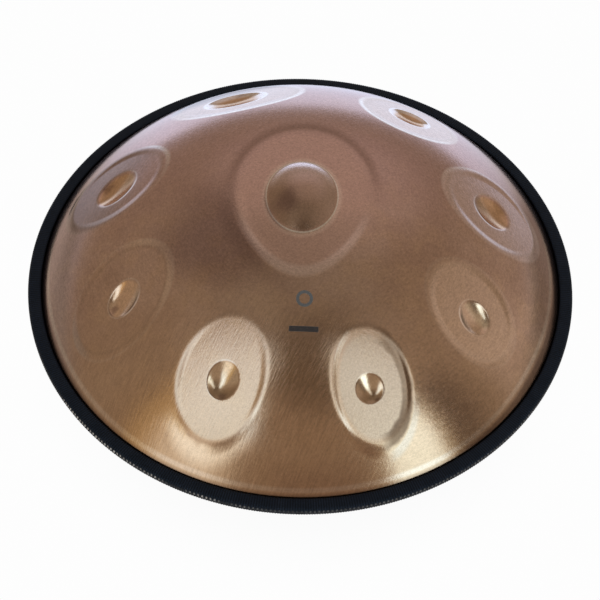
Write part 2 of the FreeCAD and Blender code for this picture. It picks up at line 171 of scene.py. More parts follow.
def feature(x, y, z):
    """Offset of the formed features along the shell normal."""
    offset = np.zeros_like(x)
    target = (-SHOULDER_Y * SHOULDER_Y / 2 * CURVE_TOP - SHOULDER_Y * CURVE_TOP * (y - SHOULDER_Y)
              - SHOULDER_SINK - (x - SHOULDER_X) ** 2 / (2 * SHOULDER_RX)
              - (y - SHOULDER_Y) ** 2 / (2 * SHOULDER_RY))
    offset += border(shoulder_level(x, y)) * (target - (z - DOME_BASE - DOME_H))
    offset += bowl(bump_level(x, y), BUMP_H)
    for field in FIELDS:
        across, out, up, near = to_field(field, x, y, z)
        cu, cv = field.face[:2]
        target = (-cu * cu / 2 * CURVE_ACROSS - cv * cv / 2 * CURVE_OUT
                  - cu * CURVE_ACROSS * (across - cu) - cv * CURVE_OUT * (out - cv)
                  - field.sink - (out - cv) ** 2 / (2 * field.radius_out)
                  - (across - cu) ** 2 / (2 * field.radius_across))
        formed = (border(oval_level(across, out, *field.face)) * (target - up)
                  - bowl(oval_level(across, out, *field.dimple), field.depth))
        offset += np.where(near, formed, 0)
    return offset


MASK_NAMES = ("field", "dimple", "ding", "shoulder", "fid")


def masks(x, y):
    """Values for MASK_NAMES: four levels capped at 3, and a tenth of the field number."""
    z = dome_z(np.hypot(x, y))
    face = np.full(x.shape, 9.0)
    dimple = np.full(x.shape, 9.0)
    number = np.zeros(x.shape)
    for i, field in enumerate(FIELDS):
        across, out, _, near = to_field(field, x, y, z)
        level = np.where(near, oval_level(across, out, *field.face), 9.0)
        number = np.where(level < face, (i + 1) / 10.0, number)
        face = np.minimum(face, level)
        level = np.where(near, oval_level(across, out, *field.dimple), 9.0)
        dimple = np.minimum(dimple, level)
    return (np.minimum(face, 3), np.minimum(dimple, 3), np.minimum(bump_level(x, y), 3),
            np.minimum(shoulder_level(x, y), 3), number)


def meridian():
    """Dome, cove and flange from the axis outward, and the radius of the cove's centre."""
    radius = WALL_END * np.arange(5081) / 5080
    z = dome_z(radius)
    cove_z = FLANGE_TOP + COVE_R
    low, high = WALL_END, WALL_END + 2 * COVE_R
    for _ in range(60):
        centre = .5 * (low + high)
        if np.hypot(radius[-900:] - centre, z[-900:] - cove_z).min() > COVE_R:
            high = centre
        else:
            low = centre
    centre = .5 * (low + high)
    touch = int(np.argmin(np.hypot(radius - centre, z - cove_z)))
    start = math.atan2(z[touch] - cove_z, radius[touch] - centre) % (2 * math.pi)
    angle = start + (1.5 * math.pi - start) * np.arange(161) / 160
    flange = centre + (FLANGE_R - centre) * np.arange(1, 25) / 24
    line_r = np.concatenate([radius[:touch], centre + COVE_R * np.cos(angle), flange])
    line_z = np.concatenate([z[:touch], cove_z + COVE_R * np.sin(angle), np.full(24, FLANGE_TOP)])
    return line_r, line_z, centre


LINE_R, LINE_Z, COVE_CENTRE = meridian()
LINE_S = np.concatenate([[0], np.cumsum(np.hypot(np.diff(LINE_R), np.diff(LINE_Z)))])


def arc_at(radius):
    """Length along the meridian at a radius."""
    return float(LINE_S[int(np.argmax(LINE_R >= radius))])


COVE_FOOT = arc_at(COVE_CENTRE - 0.01)


def line_point(along):
    return np.interp(along, LINE_S, LINE_R), np.interp(along, LINE_S, LINE_Z)


def surf(along, angle):
    """Outer skin of the top shell at a meridian length and azimuth."""
    radius, z = line_point(along)
    x, y = radius * np.cos(angle), radius * np.sin(angle)
    capped = np.minimum(radius, FADE_R)
    offset = (feature(x, y, dome_z(capped)) * smooth((FADE_R - radius) / FADE_W)
              / normal_up(slope(np.maximum(capped, .2))))
    return np.stack([x, y, z + np.where(radius < FADE_R, offset, 0)], -1)


def surf_normal(along, angle, reach=0.12):
    outward = surf(along + reach, angle) - surf(np.maximum(along - reach, .02), angle)
    turn = reach / np.maximum(np.interp(along, LINE_S, LINE_R), .5)
    sideways = surf(along, angle + turn) - surf(along, angle - turn)
    normal = np.cross(outward, sideways)
    return normal / np.maximum(np.linalg.norm(normal, axis=-1, keepdims=True), 1e-9)


def height(x, y):
    """Outer skin of the top shell over a plan point."""
    radius = np.hypot(x, y)
    z = dome_z(radius)
    fade = smooth((FADE_R - radius) / FADE_W)
    return z + feature(x, y, z) * fade / normal_up(slope(radius))


def height_normal(x, y, reach=.10):
    gx = (height(x + reach, y) - height(x - reach, y)) / (2 * reach)
    gy = (height(x, y + reach) - height(x, y - reach)) / (2 * reach)
    normal = np.stack([-gx, -gy, np.ones_like(gx)], -1)
    return normal / np.linalg.norm(normal, axis=1, keepdims=True)


# ---- mesh helpers ------------------------------------------------------------
def polar(radius, angle):
    return np.stack([radius * np.cos(angle), radius * np.sin(angle)], -1)


def hoop(radius, z, angle):
    return np.column_stack([polar(radius, angle), np.full(len(angle), z)])


def full_turn(count, shift=0):
    return 2 * np.pi * (np.arange(count) + shift) / count


class Sheet:
    """Collects rings of points and the faces between them."""

    def __init__(self):
        self.rings, self.normals, self.faces, self.count = [], [], [], 0

    def ring(self, points, normals):
        """Adds a ring; returns its first index and its size."""
        first = self.count
        self.rings.append(np.asarray(points, float))
        self.normals.append(np.asarray(normals, float))
        self.count += len(points)
        return first, len(points)

    def points(self):
        return np.concatenate(self.rings)

    def join(self, inner, outer, flip=False):
        """Faces between closed rings; outer has 1 or 2 times inner's points."""
        (a, size), (b, outer_size) = inner, outer
        faces = []
        for j in range(size):
            k = (j + 1) % size
            if size == outer_size:
                faces.append((a + j, b + j, b + k, a + k))
            else:
                j2, k2 = 2 * j, (2 * j + 2) % outer_size
                faces += [(a + j, b + j2, b + j2 + 1), (a + j, b + j2 + 1, a + k),
                          (a + k, b + j2 + 1, b + k2)]
        self.faces += [face[::-1] for face in faces] if flip else faces

    def build(self, name, attributes):
        points = self.points() / 1000.0
        points[:, 2] += SEAM_Z / 1000.0
        normals = np.concatenate(self.normals)
        mesh = bpy.data.meshes.new(name)
        mesh.from_pydata(points.tolist(), [], self.faces)
        mesh.update()
        mesh.polygons.foreach_set("use_smooth", [True] * len(mesh.polygons))
        length = np.linalg.norm(normals, axis=1, keepdims=True)
        mesh.normals_split_custom_set_from_vertices((normals / np.maximum(length, 1e-9)).tolist())
        for key, values in attributes.items():
            attribute = mesh.attributes.new(key, "FLOAT", "POINT")
            attribute.data.foreach_set("value", np.asarray(values, np.float32))
        return link(name, mesh)


def link(name, data):
    item = bpy.data.objects.new(name, data)
    bpy.context.scene.collection.objects.link(item)
    return item


# ---- top shell ---------------------------------------------------------------
# levels of the point rings
DIMPLE_RINGS = (.1, .2, .3, .4, .5, .6, .7, .78, .84, .88, .92, .95, .98,
                1.0, 1.02, 1.05, 1.08, 1.12, 1.18, 1.26, 1.38, 1.52)
FACE_RINGS = (.16, .24, .32, .40, .48, .56, .64, .71, .77)
EDGE_RINGS = (.81, .84, .865, .89, .915, .94, .965, .985, 1.005, 1.025, 1.05, 1.08, 1.12)
BUMP_RINGS = (.08, .16, .24, .32, .40, .48, .56, .64, .71, .77, .82, .86, .90, .93, .96, .98,
              1.0, 1.02, 1.04, 1.07, 1.11, 1.16, 1.22, 1.29)
SHOULDER_RINGS = (.70, .76, .80, .83, .86, .885, .91, .935, .96, .98,
                  1.0, 1.02, 1.045, 1.08, 1.13)
FILL_PITCH = 4.3        # even fill between the features
MIN_GAP = .62           # closest two plan points may lie


def oval(centre_across, centre_out, semi_a, semi_b, tilt, level, gap):
    """Points round an oval scaled by level, about gap apart."""
    count = max(8, int(round(math.pi * (semi_a + semi_b) * level / gap)))
    t = full_turn(count, .5 if int(level * 1000) % 2 else 0)
    x, y = semi_a * level * np.cos(t), semi_b * level * np.sin(t)
    cos, sin = math.cos(math.radians(tilt)), math.sin(math.radians(tilt))
    return np.stack([centre_across + x * cos - y * sin, centre_out + x * sin + y * cos], -1)


def field_points(field):
    dimple = [np.array([field.dimple[:2]])] + [oval(*field.dimple, k, 1.25) for k in DIMPLE_RINGS]
    face = np.concatenate([oval(*field.face, k, 3.4) for k in FACE_RINGS]
                          + [oval(*field.face, k, 1.9) for k in EDGE_RINGS])
    face = face[oval_level(face[:, 0], face[:, 1], *field.dimple) > 1.60]
    return to_plan(field, np.concatenate(dimple + [face]))


def centre_points():
    """Rings of the bump and the shoulder."""
    groups = [np.array([[BUMP_X, BUMP_Y]])]
    groups += [oval(BUMP_X, BUMP_Y, BUMP_A, BUMP_B, 0, k, 1.5) for k in BUMP_RINGS]
    for k in SHOULDER_RINGS:
        unit = oval(0, 0, 1, 1, 0, k, .026)
        semi = np.where(unit[:, 1] < 0, SHOULDER_A * (1 + SHOULDER_TAPER * unit[:, 1]), SHOULDER_A)
        groups.append(np.stack([SHOULDER_X + unit[:, 0] * semi,
                                SHOULDER_Y + unit[:, 1] * SHOULDER_B], -1))
    return np.concatenate(groups)


def fill_points():
    """Triangular grid clear of the features, and two circles inside the join."""
    column, row = np.meshgrid(np.arange(-70, 71), np.arange(-70, 71))
    x, y = (column + .5 * (row % 2)) * FILL_PITCH, row * FILL_PITCH * math.sqrt(3) / 2
    grid = np.stack([x.ravel() + .37, y.ravel() + .21], -1)
    grid = grid[np.hypot(grid[:, 0], grid[:, 1]) < JOIN_R - 2.2]
    face, _, bump, shoulder, _ = masks(grid[:, 0], grid[:, 1])
    grid = grid[(face > 1.155) & (bump > 1.33) & ((shoulder < .67) | (shoulder > 1.165))]
    rim = np.concatenate([polar(JOIN_R - inset, full_turn(count, .5))
                          for inset, count in ((2.2, 512), (5.0, 440))])
    face = masks(rim[:, 0], rim[:, 1])[0]
    return np.concatenate([rim[face > 1.14], grid[np.hypot(grid[:, 0], grid[:, 1]) < JOIN_R - 7.5]])


def thin_out(points, keep, gap):
    """Drops points closer than gap to an earlier one, after the first keep."""
    cells, kept = {}, []
    for i, (x, y) in enumerate(points):
        column, row = int(math.floor(x / gap)), int(math.floor(y / gap))
        if i >= keep and any(
                (points[j][0] - x) ** 2 + (points[j][1] - y) ** 2 < gap * gap
                for near_column in (column - 1, column, column + 1)
                for near_row in (row - 1, row, row + 1)
                for j in cells.get((near_column, near_row), ())):
            continue
        cells.setdefault((column, row), []).append(i)
        kept.append(i)
    return points[kept]


def plan_points():
    groups = [field_points(field) for field in FIELDS] + [centre_points()]
    formed = np.concatenate(groups)
    formed = formed[np.hypot(formed[:, 0], formed[:, 1]) < JOIN_R - 1.2]
    points = np.concatenate([polar(JOIN_R, full_turn(AROUND)), formed, fill_points()])
    return thin_out(points, AROUND, MIN_GAP)


def triangulate(sheet):
    """Adds the formed part; its outer ring comes first. Returns that ring's azimuths."""
    result = delaunay_2d_cdt([Vector(p) for p in plan_points()], [], [], 0, 1e-6)
    plan = np.array([[c[0], c[1]] for c in result[0]])
    edge = np.nonzero(np.hypot(plan[:, 0], plan[:, 1]) > JOIN_R - .05)[0]
    azimuth = np.arctan2(plan[edge, 1], plan[edge, 0]) % (2 * np.pi - 1e-6)
    edge = edge[np.argsort(azimuth)]
    order = np.concatenate([edge, np.setdiff1d(np.arange(len(plan)), edge)])
    new_index = np.empty(len(plan), int)
    new_index[order] = np.arange(len(plan))
    plan = plan[order]
    x, y = plan[:, 0], plan[:, 1]
    sheet.ring(np.stack([x, y, height(x, y)], -1), height_normal(x, y))
    for old in result[2]:
        face = [int(new_index[k]) for k in old]
        a, b, c = (plan[k] for k in face[:3])
        if (b[0] - a[0]) * (c[1] - a[1]) - (b[1] - a[1]) * (c[0] - a[0]) < 0:
            face = face[::-1]
        sheet.faces.append(tuple(face))
    return np.arctan2(plan[:len(edge), 1], plan[:len(edge), 0])


def make_top():
    sheet = Sheet()
    angle = triangulate(sheet)
    count = len(angle)
    last = (0, count)
    cove_start = arc_at(COVE_CENTRE - 2.6)
    end = LINE_S[-1]
    # wall, cove and flange top
    stations = list(np.linspace(arc_at(JOIN_R), cove_start, 8)[1:])
    stations += list(np.linspace(cove_start, COVE_FOOT, 12)[1:])
    stations += [COVE_FOOT + (end - COVE_FOOT) * share - cut
                 for share, cut in ((.3, 0), (.7, 0), (1.0, .25))]
    for station in stations:
        along = np.full(count, station)
        ring = sheet.ring(surf(along, angle), surf_normal(along, angle))
        sheet.join(last, ring)
        last = ring
    # rounded outer edge of the flange: radius, z, normal outward and up
    for radius, z, normal_r, normal_z in (
            (FLANGE_R, FLANGE_TOP - .25, .7, .7), (FLANGE_R, FLANGE_TOP - .75, .7, -.7),
            (FLANGE_R - .25, FLANGE_TOP - SHEET_T, 0, -1)):
        ring = sheet.ring(hoop(radius, z, angle), hoop(normal_r, normal_z, angle))
        sheet.join(last, ring)
        last = ring
    # underside back to the centre, with fewer points on smaller rings
    size = count
    for station in (list(np.linspace(end - 3, cove_start, 10))
                    + list(np.arange(cove_start - 5, 20, -5.0))):
        radius = np.interp(station, LINE_S, LINE_R)
        if size > (512 if radius > 250 else 256 if radius > 90 else 128 if radius > 40 else 64):
            size //= 2
        along, around = np.full(size, station), angle[::count // size]
        normal = surf_normal(along, around)
        ring = sheet.ring(surf(along, around) - SHEET_T * normal, -normal)
        sheet.join(ring, last, flip=True)
        last = ring
    apex = float(height(np.array([0.]), np.array([0.]))[0]) - SHEET_T
    centre, _ = sheet.ring([[0, 0, apex]], [[0, 0, -1]])
    first, size = last
    sheet.faces += [(first + (j + 1) % size, first + j, centre) for j in range(size)]
    points = sheet.points()
    values = masks(points[:, 0], points[:, 1])
    return sheet.build("top_shell_formed", dict(zip(MASK_NAMES, values)))


# ---- lower shell -------------------------------------------------------------
# port radius, bend radius at its mouth, neck top over the rest plane, end of the flat land
PORT_R, BEND_R, NECK_TOP, LAND_R = 50.0, 6.2, 26.0, 66.0
BOTTOM_AROUND = 320


def bottom_profile():
    """Closed section: radius, z over the rest plane, normal outward and up."""
    # outside: neck lip down, round the mouth, land, dome, cove, flange
    outside = [(PORT_R, z, -1, 0) for z in (NECK_TOP - .2, 20.0, 13.0, BEND_R)]
    for i in range(1, 9):
        cos, sin = math.cos(math.pi / 2 * i / 8), math.sin(math.pi / 2 * i / 8)
        outside.append((PORT_R + BEND_R - BEND_R * cos, BEND_R - BEND_R * sin, -cos, -sin))
    outside += [(r, 0.0, 0, -1) for r in (59.0, 63.0, LAND_R)]
    outside += [(LAND_R + 2.0, .06, .06, -1), (LAND_R + 4.5, .28, .06, -1)]
    wall = arc_at(246.0)
    for s in np.concatenate([np.linspace(arc_at(LAND_R + 9.0), wall, 72),
                             np.linspace(wall, COVE_FOOT, 18)[1:]]):
        (r, z), (r0, z0), (r1, z1) = line_point(s), line_point(s - .3), line_point(s + .3)
        length = math.hypot(r1 - r0, z1 - z0)
        outside.append((float(r), float(SEAM_Z - z), -(z1 - z0) / length, -(r1 - r0) / length))
    under = SEAM_Z - FLANGE_TOP
    seam = SEAM_Z - GLUE_T / 2
    outside += [(r, under, 0, -1) for r in (260.0, 262.5, FLANGE_R - .2)]
    outside += [(FLANGE_R, under + .2, .9, -.4), (FLANGE_R, seam - .2, .9, .4)]
    # inside: flange back to the neck, one sheet above
    inside = [(FLANGE_R - .2, seam, 0, 1)]
    for r, z, normal_r, normal_z in outside[::-1]:
        if LAND_R <= r <= COVE_CENTRE and z <= under + .1:
            inside.append((r - SHEET_T * normal_r, z - SHEET_T * normal_z, -normal_r, -normal_z))
    inside.append((PORT_R + BEND_R, SHEET_T, 0, 1))
    bend = BEND_R - SHEET_T
    for i in range(1, 7):
        cos, sin = math.cos(math.pi / 2 * i / 6), math.sin(math.pi / 2 * i / 6)
        inside.append((PORT_R + BEND_R - bend * sin, BEND_R - bend * cos, sin, cos))
    inside += [(PORT_R + SHEET_T, NECK_TOP - .2, 1, 0), (PORT_R + SHEET_T - .2, NECK_TOP, .2, 1),
               (PORT_R + .2, NECK_TOP, -.2, 1)]
    return outside + inside


def make_bottom():
    sheet = Sheet()
    angle = full_turn(BOTTOM_AROUND)
    rows = [sheet.ring(hoop(r, z - SEAM_Z, angle), hoop(normal_r, normal_z, angle))
            for r, z, normal_r, normal_z in bottom_profile()]
    for row, following in zip(rows, rows[1:] + rows[:1]):
        sheet.join(row, following, flip=True)
    clear = np.full(sheet.count, 3.0)
    values = (clear, clear, clear, clear, clear * 0)
    return sheet.build("bottom_shell_formed", dict(zip(MASK_NAMES, values)))


# ---- ribbed channel trim -----------------------------------------------------
TRIM_IN, TRIM_OUT, TRIM_HALF, TRIM_CORNER, TRIM_LIP = 256.0, 269.0, 4.8, 3.0, 1.6
RIBS, RIB_STEPS = 720, 4
JOINT_GAP, JOINT_AZIMUTH = 0.4, 107.0
SLOT_Z, SLOT_R = FLANGE_TOP + .05, FLANGE_R + .1


def trim_leg(sign):
    """Slot, inner lip, top and outer corner: radius, z, normal outward and up, rib depth."""
    leg = [(TRIM_IN + 2.4, SLOT_Z, -.6, -.8, 0.0), (TRIM_IN + .25, SLOT_Z + 2.0, -1, -.35, 0.0),
           (TRIM_IN, TRIM_HALF - 1.3, -1, .1, 0.0),
           (TRIM_IN + TRIM_LIP * .3, TRIM_HALF - TRIM_LIP * .3, -.7, .7, .05),
           (TRIM_IN + TRIM_LIP, TRIM_HALF, -.2, 1, .12), (TRIM_IN + 5.2, TRIM_HALF, 0, 1, .22),
           (TRIM_OUT - TRIM_CORNER - .6, TRIM_HALF, .05, 1, .30)]
    for i in range(1, 5):
        t = math.pi / 2 * (1 - i / 4)
        cos, sin = math.cos(t), math.sin(t)
        leg.append((TRIM_OUT - TRIM_CORNER + TRIM_CORNER * cos,
                    TRIM_HALF - TRIM_CORNER + TRIM_CORNER * sin, cos, sin, .34 + .10 * i / 4))
    return [(r, z * sign, normal_r, normal_z * sign, depth)
            for r, z, normal_r, normal_z, depth in leg]


def make_trim():
    gap = JOINT_GAP / TRIM_OUT
    count = RIBS * RIB_STEPS + 1
    start = math.radians(JOINT_AZIMUTH) + gap / 2
    angle = start + (2 * math.pi - gap) * np.arange(count) / (count - 1)
    phase = np.arange(count) % RIB_STEPS
    wave = np.array([0.0, 0.55, 1.0, 0.55])[phase]
    wave[-1] = 0
    lean = np.array([0.0, 1.0, 0.0, -1.0])[phase]
    upper = trim_leg(1)
    profile = (upper + trim_leg(-1)[::-1]
               + [(SLOT_R, -SLOT_Z, -1, 0, 0.0), (SLOT_R, SLOT_Z, -1, 0, 0.0)])
    size = len(profile)
    points = np.zeros((count, size, 3))
    normals = np.zeros((count, size, 3))
    for j, (r, z, normal_r, normal_z, depth) in enumerate(profile):
        length = math.hypot(normal_r, normal_z)
        normal_r, normal_z = normal_r / length, normal_z / length
        sunk = depth * wave
        points[:, j] = hoop(r - sunk * normal_r, z - sunk * normal_z, angle)
        # the normal leans along the rib wave
        tilt = depth / (2 * math.pi * r / RIBS) * 2.6 * lean
        normal = np.stack([normal_r * np.cos(angle) + tilt * -np.sin(angle),
                           normal_r * np.sin(angle) + tilt * np.cos(angle),
                           np.full(count, normal_z)], -1)
        normals[:, j] = normal / np.linalg.norm(normal, axis=1, keepdims=True)
    sheet = Sheet()
    rows = [sheet.ring(points[i], normals[i])[0] for i in range(count)]
    for row, following in zip(rows[:-1], rows[1:]):
        for j in range(size):
            k = (j + 1) % size
            sheet.faces.append((row + j, row + k, following + k, following + j))
    # end faces at the butt joint: two legs and the web
    leg = len(upper)
    caps = (tuple(range(leg)) + (size - 1,), tuple(range(leg, 2 * leg)) + (2 * leg,),
            (leg - 1, leg, 2 * leg, 2 * leg + 1))
    for row, step in ((rows[0], -1), (rows[-1], 1)):
        sheet.faces += [tuple(row + k for k in cap)[::step] for cap in caps]
    return sheet.build("rim_trim_ribbed", {"rib": np.repeat(wave, size)})


# ---- shader helpers ----------------------------------------------------------
class Value:
    """A node output; arithmetic on it adds Math nodes."""

    def __init__(self, net, socket):
        self.net, self.socket = net, socket

    def __add__(self, other):
        return self.net.math("ADD", self, other)

    def __radd__(self, other):
        return self.net.math("ADD", other, self)

    def __sub__(self, other):
        return self.net.math("SUBTRACT", self, other)

    def __rsub__(self, other):
        return self.net.math("SUBTRACT", other, self)

    def __mul__(self, other):
        return self.net.math("MULTIPLY", self, other)

    def __truediv__(self, other):
        return self.net.math("DIVIDE", self, other)


class Nodes:
    """Builds a node tree; colour is the running colour that tint works on."""

    def __init__(self, tree):
        self.tree, self.colour = tree, None

    def feed(self, node, inputs):
        for key, value in inputs.items():
            socket = node.inputs[key]
            if isinstance(value, Value):
                self.tree.links.new(value.socket, socket)
            elif isinstance(value, tuple) and socket.type == "RGBA":
                socket.default_value = (*value, 1.0)
            else:
                socket.default_value = value

    def node(self, kind, inputs, **settings):
        node = self.tree.nodes.new(kind)
        for key, value in settings.items():
            setattr(node, key, value)
        self.feed(node, inputs)
        return node

    def out(self, kind, inputs, output=0, **settings):
        return Value(self, self.node(kind, inputs, **settings).outputs[output])

    def math(self, operation, *values):
        return self.out("ShaderNodeMath", dict(enumerate(values)), operation=operation)

    def step(self, x, start, end, low=0.0, high=1.0):
        """Smooth step of x, from low at start to high at end."""
        if end < start:
            start, end, low, high = end, start, high, low
        return self.out("ShaderNodeMapRange", {0: x, 1: start, 2: end, 3: low, 4: high},
                        interpolation_type="SMOOTHSTEP")

    def band(self, x, rise, full, fade, end):
        """1 while x is between full and fade, 0 below rise and above end."""
        return self.step(x, rise, full) * self.step(x, fade, end, 1.0, 0.0)

    def mix(self, share, first, second, blend="MIX"):
        return self.out("ShaderNodeMix", {0: share, 6: first, 7: second}, output=2,
                        data_type="RGBA", blend_type=blend)

    def tint(self, mask, colour, amount=None):
        """Lays a colour over the running colour where mask is set."""
        if amount is not None:
            mask = mask * amount
        self.colour = self.mix(mask, self.colour, colour)

    def vec(self, x, y, z):
        return self.out("ShaderNodeCombineXYZ", {0: x, 1: y, 2: z})

    def xyz(self, vector):
        outputs = self.node("ShaderNodeSeparateXYZ", {0: vector}).outputs
        return [Value(self, outputs[i]) for i in range(3)]

    def place(self, output="Object"):
        return self.out("ShaderNodeTexCoord", {}, output)

    def noise(self, vector, scale, detail, rough=.5):
        return self.out("ShaderNodeTexNoise", {"Vector": vector, "Scale": scale,
                                               "Detail": detail, "Roughness": rough})

    def attr(self, name):
        return self.out("ShaderNodeAttribute", {}, "Fac", attribute_name=name)

    def bump(self, height_, strength, distance, under=None):
        inputs = {"Strength": strength, "Distance": distance, "Height": height_}
        if under is not None:
            inputs["Normal"] = under
        return self.out("ShaderNodeBump", inputs)


def material(name, kind=Nodes):
    """Material, its node builder and its Principled node."""
    made = bpy.data.materials.new(name)
    made.use_nodes = True
    tree = made.node_tree
    bsdf = next(node for node in tree.nodes if node.type == "BSDF_PRINCIPLED")
    return made, kind(tree), bsdf


# ---- steel -------------------------------------------------------------------
LAST_FIELD = (.73, .77, .85, .90)   # band of the fid attribute that picks field 8


class SteelNodes(Nodes):
    """Adds places in millimetres, sines of the azimuth, and the formed features' masks."""

    def __init__(self, tree):
        super().__init__(tree)
        self.pos = self.place()
        x, y, self.metres_z = self.xyz(self.pos)
        self.x, self.y = x * 1000.0, y * 1000.0
        self.radius = self.math("SQRT", self.x * self.x + self.y * self.y)
        safe = self.math("MAXIMUM", self.radius, 1.0)
        self.cos, self.sin = self.x / safe, self.y / safe

    def read_masks(self):
        for name in MASK_NAMES:
            setattr(self, name, self.attr(name))
        # field level with an uneven edge
        self.wavy = self.field + ((self.noise(self.pos, scale=75.0, detail=2.0) - .5) * .10
                                  + (self.noise(self.pos, scale=28.0, detail=1.0) - .5) * .06)

    def on_fields(self, first, last=None, full=.03, end=.07):
        """Mask of the fields numbered first to last."""
        last = last or first
        return self.band(self.fid, first / 10 - end, first / 10 - full,
                         last / 10 + full, last / 10 + end)

    def from_dimple(self, number, along_x, along_y):
        """Distance from a dimple's centre along a plan direction, scaled by its length."""
        field = FIELDS[number - 1]
        x, y = to_plan(field, np.array([field.dimple[:2]]))[0]
        return (self.x - float(x)) * along_x + (self.y - float(y)) * along_y


def tint_sheet(net):
    """Bronze to copper with faint clouds."""
    step, tint, x, y = net.step, net.tint, net.x, net.y
    clouds = net.noise(net.pos, scale=14.0, detail=4.0, rough=.55)
    small_clouds = net.noise(net.pos, scale=45.0, detail=3.0, rough=.6)
    net.colour = net.mix(step(clouds, .38, .64), (0.540, 0.362, 0.268), (0.630, 0.440, 0.337))
    tint(step(small_clouds, .42, .68, 0, .45), (0.66, 0.45, 0.30))
    # gold at the front, plum at the back, mauve at the far left
    tint(step(y, -40.0, -215.0), (0.65, 0.458, 0.288), amount=.75)
    tint(step(y, -70.0, 90.0), (0.588, 0.380, 0.342), amount=.75)
    tint(step(x, -190.0, -235.0), (0.60, 0.44, 0.44), amount=.35)
    # painted shade on the front wall, left and right
    tint(step(y, -190.0, -236.0) * net.band(x, -205.0, -150.0, -75.0, -35.0),
         (0.46, 0.315, 0.185), amount=.30)
    tint(step(y, -190.0, -225.0) * step(x, 60.0, 110.0), (0.43, 0.31, 0.19), amount=.22)


def tint_shoulder(net):
    step, band, tint, x, y, level = net.step, net.band, net.tint, net.x, net.y, net.shoulder
    # rosy painted reflection inside, painted shade in front of the bump
    tint(step(level, 1.02, .80, 0, .55), (0.665, 0.440, 0.345))
    tint(step(level, 1.0, .9) * step(net.ding, .98, 1.10) * step(y, 5.0, -40.0),
         (0.455, 0.315, 0.235), amount=.60)
    # painted shade on the back border, painted highlight on the front border, painted shade outside
    # it on the front left
    tint(band(level, .91, 1.0, 1.0, 1.15) * step(y, 0.0, 55.0), (0.34, 0.21, 0.16), amount=.68)
    tint(band(level, .84, .91, .95, 1.02) * step(y, -5.0, -55.0), (0.92, 0.72, 0.62), amount=.58)
    tint(band(level, .99, 1.03, 1.08, 1.30) * step(y, 20.0, -35.0) * step(x, 20.0, -45.0),
         (0.33, 0.21, 0.16), amount=.42)


def tint_bump(net):
    step, band, tint, x, y, level = net.step, net.band, net.tint, net.x, net.y, net.ding
    # painted shade at the front, a paler painted reflection at the back with a painted highlight
    # crescent, and a paler painted reflection on the right
    tint(step(level, 1.0, .90) * step(y, 36.0, 0.0, 0, .62), (0.36, 0.25, 0.165))
    tint(step(level, 1.0, .92) * step(y, 4.0, 34.0), (0.80, 0.64, 0.60), amount=.62)
    tint(band(level, .72, .84, .93, .985) * step(y, 8.0, 36.0), (1.0, 0.86, 0.84), amount=.55)
    tint(step(level, 1.0, .92) * step(x, 4.0, 26.0), (0.72, 0.54, 0.46), amount=.40)
    # painted highlight on the crease and a painted glow outside it
    tint(band(level, .965, .99, 1.0, 1.03), (0.96, 0.88, 0.78), amount=.85)
    tint(band(level, 1.0, 1.03, 1.04, 1.16), (0.86, 0.68, 0.54), amount=.45)


def tint_every_field(net):
    step, band, tint, level = net.step, net.band, net.tint, net.field
    # dimples: warm inside, with a painted highlight as a pale outline
    tint(step(net.dimple, 1.02, .80) * step(net.y, -120.0, 60.0, .35, .9), (0.70, 0.44, 0.25))
    tint(band(net.dimple, .98, 1.02, 1.04, 1.10), (0.84, 0.72, 0.60), amount=.35)
    # painted highlight on the inner border at the back
    tint(band(level, .91, .965, .985, 1.04) * step(net.y, 30.0, 115.0)
         * step(net.radius, 205.0, 170.0), (1.0, 0.92, 0.86), amount=.75)
    # painted highlight as a pale outline, faint on fields 4 and 5, and painted shade in a groove
    # inside it
    tint(band(level, .955, .99, 1.0, 1.04) * (1.0 - net.on_fields(4, 5) * .85),
         (0.80, 0.66, 0.54), amount=.14)
    tint(band(net.wavy, .82, .875, .885, .94), (0.40, 0.28, 0.20), amount=.28)


def tint_back_and_left(net):
    """Fields 1, 2, 3 and 8, and the front edge of field 4."""
    step, band, tint, radius = net.step, net.band, net.tint, net.radius
    # field 2: painted shade outward of the dimple
    tint(net.on_fields(2) * step(net.field, 1.06, .90)
         * (step(radius, 150.0, 200.0) * step(net.dimple, .96, 1.08)),
         (0.24, 0.16, 0.115), amount=.60)
    # fields 1 and 8: pale painted reflection on the face; field 1 darkens to a grey painted
    # reflection outward
    one = net.on_fields(1) * step(net.field, 1.06, .96)
    faces = net.math("MAXIMUM", one, band(net.fid, *LAST_FIELD) * step(net.field, 1.06, .96))
    tint(faces * step(net.dimple, .90, 1.02), (0.95, 0.84, 0.66), amount=.34)
    tint(one * .70 * step(radius, 205.0, 222.0), (0.30, 0.26, 0.24))
    # field 3: painted highlight in the dimple; field 4: painted highlight on the front edge
    tint(net.on_fields(3) * step(net.dimple, 1.04, .84), (0.95, 0.68, 0.46), amount=.5)
    tint(net.on_fields(4) * band(net.wavy, .88, .95, 1.0, 1.30) * step(net.y, -184.0, -206.0),
         (0.98, 0.80, 0.60), amount=.80)


def tint_fifth(net):
    """Field 5: a painted highlight as a pale left band, a tan painted reflection on the face, painted
    shade as a dark right band, and a painted highlight on a ridge beyond it.
    """
    step, band, tint, y = net.step, net.band, net.tint, net.y
    across = net.from_dimple(5, along_x=.97 / 39, along_y=.10 / 39)
    five = net.on_fields(5)
    tint(five * band(net.field, .79, .83, .88, .92) * step(across, -.30, -.62),
         (1.0, 0.84, 0.66), amount=.60)
    right = five * band(net.wavy, .63, .71, .89, .97) * step(across, .12, .50)
    tint(five * step(net.field, .80, .70) * (step(net.dimple, 1.0, 1.1) * .35),
         (0.62, 0.53, 0.41))
    tint(right, net.mix(step(y, -165.0, -200.0), (0.30, 0.20, 0.13), (0.13, 0.072, 0.040)),
         amount=.80)
    tint(five * band(net.field, .95, .99, 1.06, 1.16)
         * (step(across, .30, .60) * step(y, -150.0, -205.0)), (0.60, 0.50, 0.40), amount=.55)


